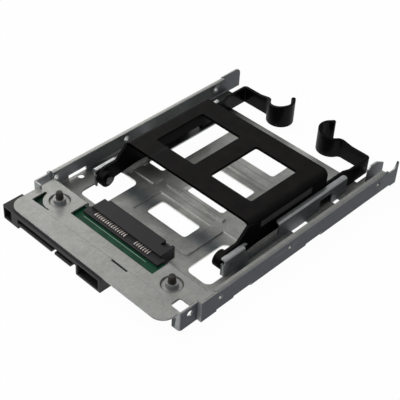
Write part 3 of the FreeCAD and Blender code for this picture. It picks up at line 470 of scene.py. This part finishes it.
# painted reflection: the floor darkens towards the rear left corner
corner = times(tree, ramp(tree, place["X"], zincLook["cornerAcross"], 1.0, 0.0, True), flat,
               ramp(tree, place["Y"], fromFront(*zincLook["cornerAlong"])))
gain = faded(tree, gain, corner, zincLook["corner"])
# painted shade: the floor darkens under the retainer's flanks
under = times(tree, ramp(tree, across, zincLook["underAcross"], soft=True), flat,
              below(tree, across, zincLook["underWall"]),
              ramp(tree, place["Y"], fromFront(*zincLook["underFront"]), soft=True),
              ramp(tree, place["Y"], fromFront(*zincLook["underRear"]), 1.0, 0.0, True))
gain = faded(tree, gain, under, zincLook["under"])
# painted shade: thin dark lines along the floor's pressed creases
between = times(tree, flat, span(tree, place["X"], *zincLook["creaseAcross"]))
for along in zincLook["creases"]:
    crease = times(tree, thinLine(tree, place["Y"], along, zincLook["creaseHalf"]), between)
    gain = faded(tree, gain, crease, zincLook["crease"])
# painted reflection: the dark band also takes a cool tint
cool = times(tree, flat, ranged(tree, band, zincLook["bandShade"], 1.0, zincLook["coolShare"], 0.0))
tone = mixColour(tree, cool, tone, zincLook["cool"])
# painted reflection: broad light and dark blotches across the low floor
wide = useGroup(tree, rolledGrain, spot, Scale=zincLook["blotchScale"])
least, most = [level - 1.0 for level in zincLook["blotch"]]
blotch = ranged(tree, wide["Cloud"], *zincLook["blotchNoise"], least, most, True)
gain = times(tree, gain, counted(tree, "ADD", 1.0, times(tree, flat, blotch)))

scuff = useGroup(tree, scuffMarks, spot, Scale=zincLook["scuffScale"], Amount=zincLook["scuffAmount"])
mottled = mixColour(tree, 1.0, tone, gain, "MULTIPLY")
feed(tree, mixColour(tree, scuff["Scuff"], mottled, zincLook["bare"]), shader.inputs["Base Color"])
rough = ranged(tree, grain["Cloud"], *zincLook["roughNoise"], *zincLook["rough"])
rough = counted(tree, "ADD", rough, times(tree, upright, zincLook["uprightRough"]))
rough = counted(tree, "SUBTRACT", rough, times(tree, scuff["Scuff"], zincLook["scuffShine"]))
feed(tree, rough, shader.inputs["Roughness"])
shader.inputs["Metallic"].default_value = zincLook["metallic"]
bumped(tree, shader, counted(tree, "ADD", flower.outputs["Distance"], scuff["Scuff"]), zincLook)

enamelLook = {
    "body": (0.0112, 0.0102, 0.0097), "bodyShares": (0.78, 1.22), "edge": (0.0020, 0.0018, 0.0019),
    "edgeShadeTilt": (0.3, 0.9), "wearAndSheen": (0.075, 0.070, 0.068), "scuffScale": 180.0, "scuffAmount": 0.12,
    "stripTall": (11.15, 14.45), "stripFrom": 36.9, "stripAlong": (65.95, 99.05), "stripShare": 0.9,
    "hook": (0.0022, 0.0020, 0.0022), "hookAlong": (107.0, 113.0), "hookCoat": 0.1, "coatRough": 0.12,
    "specular": 0.03, "rough": 0.5, "hookRough": 0.36, "roughSwing": 0.04, "grainScale": 2600.0,
    "bumpDepth": 0.006, "bumpStrength": 0.3}
blackMoulding, tree, shader, spot = newFinish("blackMoulding")
place = axesOf(tree, spot, "Object")
facing = axesOf(tree, spot, "Normal")
grain = useGroup(tree, mouldGrain, spot, Scale=enamelLook["grainScale"])
scuff = useGroup(tree, scuffMarks, spot, Scale=enamelLook["scuffScale"], Amount=enamelLook["scuffAmount"])
tone = bodyTone(tree, grain["Tone"], enamelLook)
# painted shade: faces of the retainer that do not look up take the near-black edge tone
tone = mixColour(tree, ranged(tree, facing["Z"], *enamelLook["edgeShadeTilt"]), enamelLook["edge"], tone)
# painted sheen: a lighter strip along the flanks' groove; the same light tone also marks scuffs, which are
# real wear
strip = times(tree, span(tree, place["Z"], *enamelLook["stripTall"]),
              over(tree, counted(tree, "ABSOLUTE", place["X"]), enamelLook["stripFrom"]),
              span(tree, place["Y"], *fromFront(*enamelLook["stripAlong"])), enamelLook["stripShare"])
tone = mixColour(tree, strip, tone, enamelLook["wearAndSheen"])
tone = mixColour(tree, scuff["Scuff"], tone, enamelLook["wearAndSheen"])
hooks = ramp(tree, place["Y"], fromFront(*enamelLook["hookAlong"]), soft=True)
feed(tree, mixColour(tree, hooks, tone, enamelLook["hook"]), shader.inputs["Base Color"])
rough = ranged(tree, hooks, 0.0, 1.0, enamelLook["rough"], enamelLook["hookRough"])
swing = ranged(tree, grain["Tone"], *midNoise, -enamelLook["roughSwing"], enamelLook["roughSwing"])
feed(tree, counted(tree, "ADD", rough, swing), shader.inputs["Roughness"])
feed(tree, times(tree, hooks, enamelLook["hookCoat"]), shader.inputs["Coat Weight"])
shader.inputs["Coat Roughness"].default_value = enamelLook["coatRough"]
shader.inputs["Specular IOR Level"].default_value = enamelLook["specular"]
bumped(tree, shader, grain["Height"], enamelLook)

nylonLook = {
    "body": (0.0165, 0.0150, 0.0165), "bodyShares": (0.84, 1.18), "fleck": (0.045, 0.042, 0.045),
    "fleckScale": 5200.0, "fleckNoise": (0.68, 0.76), "fleckShare": 0.4, "specular": 0.25,
    "rough": (0.42, 0.56), "roughNoise": (0.25, 0.75), "grainScale": 3400.0,
    "bumpDepth": 0.008, "bumpStrength": 0.4}
connectorNylon, tree, shader, spot = newFinish("connectorNylon")
grain = useGroup(tree, mouldGrain, spot, Scale=nylonLook["grainScale"])
tone = bodyTone(tree, grain["Tone"], nylonLook)
fleck = noised(tree, spot.outputs["Object"], nylonLook["fleckScale"])
fleck = ranged(tree, fleck, *nylonLook["fleckNoise"], 0.0, nylonLook["fleckShare"])
feed(tree, mixColour(tree, fleck, tone, nylonLook["fleck"]), shader.inputs["Base Color"])
rough = ranged(tree, grain["Tone"], *nylonLook["roughNoise"], *nylonLook["rough"])
feed(tree, rough, shader.inputs["Roughness"])
shader.inputs["Specular IOR Level"].default_value = nylonLook["specular"]
bumped(tree, shader, grain["Height"], nylonLook)

boardLook = {
    "mask": (0.0014, 0.038, 0.016), "copper": (0.004, 0.072, 0.031), "copperNoise": (0.46, 0.54),
    "drift": (0.003, 0.055, 0.024), "driftNoise": (0.2, 0.8), "driftShare": 0.35, "patchScale": 140.0,
    "tracks": {"Scale": 330.0, "Mortar Size": 0.06, "Brick Width": 2.6, "Row Height": 0.34},
    "line": (0.36, 0.50, 0.42), "lineAlong": 20.1, "lineHalf": 0.13, "lineAcross": (-21.0, 17.0),
    "lineShare": 0.75,
    "shade": (0.0006, 0.010, 0.005), "shadeUpTo": -29.0, "shadeShare": 0.8,
    "core": (0.19, 0.21, 0.10), "coreTilt": 0.4, "specular": 0.2, "rough": (0.28, 0.4),
    "bumpDepth": 0.03, "bumpStrength": 0.6}
boardMask, tree, shader, spot = newFinish("boardMask")
place = axesOf(tree, spot, "Object")
facing = axesOf(tree, spot, "Normal")
tracks = put(tree, "ShaderNodeTexBrick")
for key, setting in {"Vector": spot.outputs["Object"], **boardLook["tracks"]}.items():
    feed(tree, setting, tracks.inputs[key])
patch = noised(tree, spot.outputs["Object"], boardLook["patchScale"])
copper = times(tree, tracks.outputs["Fac"], ranged(tree, patch, *boardLook["copperNoise"]))
tone = mixColour(tree, copper, boardLook["mask"], boardLook["copper"])
drift = ranged(tree, patch, *boardLook["driftNoise"], 0.0, boardLook["driftShare"])
tone = mixColour(tree, drift, tone, boardLook["drift"])
inkLine = times(tree, thinLine(tree, place["Y"], boardLook["lineAlong"], boardLook["lineHalf"]),
                span(tree, place["X"], *boardLook["lineAcross"]), boardLook["lineShare"])
tone = mixColour(tree, inkLine, tone, boardLook["line"])
cornered = times(tree, below(tree, place["X"], boardLook["shadeUpTo"]), boardLook["shadeShare"])
tone = mixColour(tree, cornered, tone, boardLook["shade"])
cutEdge = counted(tree, "LESS_THAN", counted(tree, "ABSOLUTE", facing["Z"]), boardLook["coreTilt"])
feed(tree, mixColour(tree, cutEdge, tone, boardLook["core"]), shader.inputs["Base Color"])
feed(tree, ranged(tree, patch, *midNoise, *boardLook["rough"]), shader.inputs["Roughness"])
shader.inputs["Specular IOR Level"].default_value = boardLook["specular"]
bumped(tree, shader, copper, boardLook)

contactLook = {"dull": (0.50, 0.43, 0.40), "bright": (0.80, 0.72, 0.67), "grainScale": 4000.0,
               "rough": (0.22, 0.42), "metallic": 0.85}
contactMetal, tree, shader, spot = newFinish("contactMetal")
grain = useGroup(tree, rolledGrain, spot, Scale=contactLook["grainScale"])
tone = mixedTone(tree, grain["Cloud"], contactLook["dull"], contactLook["bright"])
feed(tree, tone, shader.inputs["Base Color"])
feed(tree, ranged(tree, grain["Grain"], *midNoise, *contactLook["rough"]), shader.inputs["Roughness"])
shader.inputs["Metallic"].default_value = contactLook["metallic"]

screwLook = {"oxide": (0.016, 0.013, 0.011), "bare": (0.065, 0.056, 0.048), "bareShare": 0.6,
             "rubbed": (0.16, 0.14, 0.12), "scuffScale": 900.0, "scuffAmount": 0.6, "grainScale": 2500.0,
             "rough": (0.32, 0.5), "metallic": 0.6}
blackOxide, tree, shader, spot = newFinish("blackOxide")
grain = useGroup(tree, rolledGrain, spot, Scale=screwLook["grainScale"])
scuff = useGroup(tree, scuffMarks, spot, Scale=screwLook["scuffScale"], Amount=screwLook["scuffAmount"])
tone = mixedTone(tree, grain["Cloud"], screwLook["oxide"], screwLook["bare"], screwLook["bareShare"])
feed(tree, mixColour(tree, scuff["Scuff"], tone, screwLook["rubbed"]), shader.inputs["Base Color"])
feed(tree, ranged(tree, grain["Grain"], *midNoise, *screwLook["rough"]), shader.inputs["Roughness"])
shader.inputs["Metallic"].default_value = screwLook["metallic"]

pinLook = {"dull": (0.035, 0.034, 0.034), "bright": (0.075, 0.073, 0.072), "end": (0.24, 0.25, 0.255),
           "endFrom": 30.0, "rubbed": (0.36, 0.36, 0.35), "scuffScale": 700.0, "scuffAmount": 0.5,
           "grainScale": 2600.0, "rough": (0.26, 0.42), "metallic": 0.8}
pinSteel, tree, shader, spot = newFinish("pinSteel")
place = axesOf(tree, spot, "Object")
facing = axesOf(tree, spot, "Normal")
grain = useGroup(tree, rolledGrain, spot, Scale=pinLook["grainScale"])
scuff = useGroup(tree, scuffMarks, spot, Scale=pinLook["scuffScale"], Amount=pinLook["scuffAmount"])
tone = mixedTone(tree, grain["Cloud"], pinLook["dull"], pinLook["bright"])
outerEnd = over(tree, times(tree, facing["X"], place["X"]), pinLook["endFrom"])
tone = mixColour(tree, outerEnd, tone, pinLook["end"])
feed(tree, mixColour(tree, scuff["Scuff"], tone, pinLook["rubbed"]), shader.inputs["Base Color"])
feed(tree, ranged(tree, grain["Grain"], *midNoise, *pinLook["rough"]), shader.inputs["Roughness"])
shader.inputs["Metallic"].default_value = pinLook["metallic"]
print("finishes made")

# sheet tray: the solid with its floor windows opened further forward, and two pressed bands

trayPlan = {"edge": 0.06, "windowShift": -1.4, "windowUpTo": 0.9,
            "windowFronts": (((-9.3, 13.4), (70.4, 72.4)), ((-35.0, -25.2), (71.8, 73.8)),
                             ((25.2, 35.0), (71.8, 73.8)))}
bandPlan = {"inner": 20.8, "outer": 34.4, "front": 61.1, "rear": 66.6, "foot": 0.7, "top": 1.35,
            "round": 0.3, "segments": 3}


def pressedBand(plan, sign):
    # a shallow band pressed up across the floor behind the hinge
    putDown()
    wide, long = plan["outer"] - plan["inner"], plan["rear"] - plan["front"]
    tall = plan["top"] - plan["foot"]
    middle = (sign * (plan["inner"] + wide / 2) * mm, (plan["front"] + long / 2 - datum) * mm,
              (plan["foot"] + tall / 2) * mm)
    bpy.ops.mesh.primitive_cube_add(size=1, location=middle, scale=(wide * mm, long * mm, tall * mm))
    band = settled(bpy.context.object)
    roundedEnd(band, 1, plan["round"], plan["segments"])
    smoothed(band)
    return band


tray = weldedCopy("tray", "sheetTray")
for (left, right), (front, rear) in trayPlan["windowFronts"]:
    shifted(tray, (0, trayPlan["windowShift"] * mm, 0), lambda spot: left < spot.x < right
            and front < spot.y + datum < rear and spot.z < trayPlan["windowUpTo"])
brokenEdges(tray, "tray", trayPlan["edge"])
joined(tray, *[pressedBand(bandPlan, sign) for sign in (-1, 1)])
fitted(tray, "frame", "sheet_steel", zincSteel, "tray")

# board, housings and contacts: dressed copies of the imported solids

boardPlan = {"edge": 0.05}
board = dressedCopy("adapter_board", "greenBoard", boardPlan["edge"])
fitted(board, "frame", "board_green", boardMask, "adapter_board")

housingPlan = {"edge": 0.16, "names": {"receptacle_housing": "driveReceptacle", "plug_housing": "hostPlug"}}
for node, name in housingPlan["names"].items():
    fitted(dressedCopy(node, name, housingPlan["edge"]), "frame", "connector_black", connectorNylon, node)

contactPlan = {"edge": 0.06, "names": {
    "receptacle_power_contacts": "drivePowerContacts", "receptacle_signal_contacts": "driveSignalContacts",
    "plug_power_contacts": "hostPowerContacts", "plug_signal_contacts": "hostSignalContacts"}}
for node, name in contactPlan["names"].items():
    fitted(dressedCopy(node, name, contactPlan["edge"]), "frame", "contact_metal", contactMetal, node)

# retainer and its pins: the plate's front edge is relieved underneath, so it looks thin from above

retainerPlan = {"edge": 0.22, "segments": 3, "front": 58.6, "under": 16.3,
                "slopeLong": 1.4, "slopeTall": 1.25, "slopeHalf": 33.0, "cutter": 4.0}


def slopedFront(piece, plan):
    putDown()
    tilt = math.atan2(plan["slopeLong"], plan["slopeTall"])
    facing = Vector((0, math.cos(tilt), math.sin(tilt)))
    middle = Vector((0, plan["front"] + plan["slopeLong"] / 2 - datum,
                     plan["under"] + plan["slopeTall"] / 2))
    bpy.ops.mesh.primitive_cube_add(
        size=1, location=(middle - facing * plan["cutter"] / 2) * mm, rotation=(tilt, 0, 0),
        scale=(2 * plan["slopeHalf"] * mm, plan["cutter"] * mm, plan["cutter"] * mm))
    return cutAway(piece, settled(bpy.context.object))


retainer = slopedFront(weldedCopy("retainer_frame", "blackRetainer"), retainerPlan)
brokenEdges(retainer, "retainer_frame", retainerPlan["edge"], retainerPlan["segments"])
fitted(retainer, "retainer", "retainer_black", blackMoulding, "retainer_frame")

pinPlan = {"edge": 0.18, "segments": 3,
           "names": {"left_hinge_pin": "leftHingePin", "right_hinge_pin": "rightHingePin"}}
for node, name in pinPlan["names"].items():
    pin = dressedCopy(node, name, pinPlan["edge"], pinPlan["segments"])
    fitted(pin, "frame", "pin_steel", pinSteel, node)
print("solids dressed")

# board screws: a pan head with a hex socket, a core and a rolled thread, made once and copied

screwPlan = {"across": 34.0, "along": 18.0, "foot": 3.3, "seat": 5.3, "tip": 13.1,
             "head": 3.1, "headSides": 64, "headRound": 0.7, "headSegments": 5,
             "socket": 1.2, "socketSides": 6, "socketDeep": 1.0,
             "root": 1.38, "rootSides": 48, "rootInHead": 0.2, "tipRound": 0.2, "tipSegments": 3,
             "crest": 1.7, "pitch": 0.79, "runOut": 1.6, "steps": 40, "smoothAngle": 40}


def madeDrum(sides, radius, foot, top):
    putDown()
    bpy.ops.mesh.primitive_cylinder_add(vertices=sides, radius=radius * mm, depth=(top - foot) * mm,
                                        location=(0, 0, (foot + top) / 2 * mm))
    return settled(bpy.context.object)


def madeThread(plan):
    # a square section on its corner, wound up round the core and closed at both ends
    putDown()
    bpy.ops.mesh.primitive_circle_add(
        vertices=4, radius=(plan["crest"] - plan["root"]) * mm, fill_type="NOTHING",
        rotation=(math.pi / 2, 0, 0), location=(plan["root"] * mm, 0, (plan["seat"] + plan["pitch"]) * mm))
    coil = settled(bpy.context.object)
    turns = int((plan["tip"] - plan["seat"] - plan["runOut"] * plan["pitch"]) / plan["pitch"])
    applied(coil, "SCREW", axis="Z", screw_offset=plan["pitch"] * mm, iterations=turns, steps=plan["steps"],
            render_steps=plan["steps"])
    pickUp(coil)
    bpy.ops.object.mode_set(mode="EDIT")
    bpy.ops.mesh.select_mode(type="EDGE")
    bpy.ops.mesh.select_all(action="DESELECT")
    bpy.ops.mesh.select_non_manifold()
    bpy.ops.mesh.edge_face_add()
    bpy.ops.mesh.select_all(action="SELECT")
    bpy.ops.mesh.normals_make_consistent(inside=False)
    bpy.ops.object.mode_set(mode="OBJECT")
    return coil


def madeScrew(plan):
    head = madeDrum(plan["headSides"], plan["head"], plan["foot"], plan["seat"])
    roundedEnd(head, -1, plan["headRound"], plan["headSegments"])
    cutAway(head, madeDrum(plan["socketSides"], plan["socket"], plan["foot"] - plan["socketDeep"],
                           plan["foot"] + plan["socketDeep"]))
    core = madeDrum(plan["rootSides"], plan["root"], plan["seat"] - plan["rootInHead"], plan["tip"])
    roundedEnd(core, 1, plan["tipRound"], plan["tipSegments"])
    joined(head, core, madeThread(plan))
    smoothed(head, plan["smoothAngle"])
    return head


screw = madeScrew(screwPlan)
twin = screw.copy()
twin.data = screw.data.copy()
bpy.context.scene.collection.objects.link(twin)
for piece, sign in ((screw, -1), (twin, 1)):
    piece.location = (sign * screwPlan["across"] * mm, (screwPlan["along"] - datum) * mm, 0)
    settled(piece)
joined(screw, twin)
screw.name = "boardScrews"
fitted(screw, "frame", "screw_black", blackOxide, "board_screws")
print("screws made")

# stage: pale floor with a backdrop all round, soft light and the photo's camera

stagePlan = {"floor": 7.0, "floorUnder": 0.0002, "rim": 1.4, "floorTone": (0.82, 0.82, 0.82), "glow": 1.0,
             "whitening": 0.97, "worldTone": (0.92, 0.94, 0.96), "worldStrength": 0.43}
putDown()
bpy.ops.mesh.primitive_plane_add(size=stagePlan["floor"], location=(0, 0, -stagePlan["floorUnder"]))
floor = bpy.context.object
floor.name = "paleFloor"
pickUp(floor)
bpy.ops.object.mode_set(mode="EDIT")
bpy.ops.mesh.select_mode(type="EDGE")
bpy.ops.mesh.select_all(action="SELECT")
bpy.ops.mesh.region_to_loop()
bpy.ops.mesh.extrude_edges_move(TRANSFORM_OT_translate={"value": (0, 0, stagePlan["rim"])})
bpy.ops.object.mode_set(mode="OBJECT")
paper = bpy.data.materials.new("palePaper")
tree = newTree(paper)
matt = put(tree, "ShaderNodeBsdfDiffuse")
matt.inputs["Color"].default_value = (*stagePlan["floorTone"], 1)
glow = put(tree, "ShaderNodeEmission")
glow.inputs["Strength"].default_value = stagePlan["glow"]
ray = put(tree, "ShaderNodeLightPath").outputs
mirrored = counted(tree, "MAXIMUM", ray["Is Glossy Ray"], ray["Is Transmission Ray"])
seen = counted(tree, "MAXIMUM", ray["Is Camera Ray"], mirrored)
blendNode = put(tree, "ShaderNodeMixShader")
whitened = times(tree, seen, stagePlan["whitening"])
for index, entry in enumerate((whitened, matt.outputs[0], glow.outputs[0])):
    feed(tree, entry, blendNode.inputs[index])
feed(tree, blendNode.outputs[0], put(tree, "ShaderNodeOutputMaterial").inputs["Surface"])
floor.data.materials.append(paper)

world = bpy.data.worlds.new("softRoom")
world.use_nodes = True
backdrop = world.node_tree.nodes["Background"]
backdrop.inputs["Color"].default_value = (*stagePlan["worldTone"], 1)
backdrop.inputs["Strength"].default_value = stagePlan["worldStrength"]
bpy.context.scene.world = world

lampPlan = {"key": {"place": (-0.42, -0.22, 0.72), "size": 0.8, "power": 4.8},
            "rim": {"place": (-0.7, 0.45, 0.35), "size": 0.3, "power": 1.0}}
for name, plan in lampPlan.items():
    lamp = bpy.data.lights.new(name + "Lamp", "AREA")
    lamp.shape = "SQUARE"
    lamp.size = plan["size"]
    lamp.energy = plan["power"]
    carrier = bpy.data.objects.new(name + "Lamp", lamp)
    bpy.context.scene.collection.objects.link(carrier)
    carrier.location = plan["place"]
    carrier.rotation_euler = (-Vector(plan["place"])).to_track_quat("-Z", "Y").to_euler()

cameraPlan = {"place": (0.23106, -0.26067, 0.29458), "lens": 92.71, "sensor": 36, "shift": (0.0335, 0.0021),
              "clip": 0.01, "right": (0.7071, 0.7061, 0.0383), "down": (0.4802, -0.4398, -0.7589),
              "ahead": (-0.519, 0.555, -0.6501)}
lens = bpy.data.cameras.new("photoCamera")
lens.sensor_width = cameraPlan["sensor"]
lens.sensor_fit = "HORIZONTAL"
lens.lens = cameraPlan["lens"]
lens.shift_x, lens.shift_y = cameraPlan["shift"]
lens.clip_start = cameraPlan["clip"]
eye = bpy.data.objects.new("photoCamera", lens)
bpy.context.scene.collection.objects.link(eye)
turn = Matrix((cameraPlan["right"], [-c for c in cameraPlan["down"]], [-c for c in cameraPlan["ahead"]]))
eye.matrix_world = Matrix.Translation(cameraPlan["place"]) @ turn.transposed().to_4x4()
bpy.context.scene.camera = eye
bpy.context.scene.view_settings.view_transform = "Standard"
print("stage set")
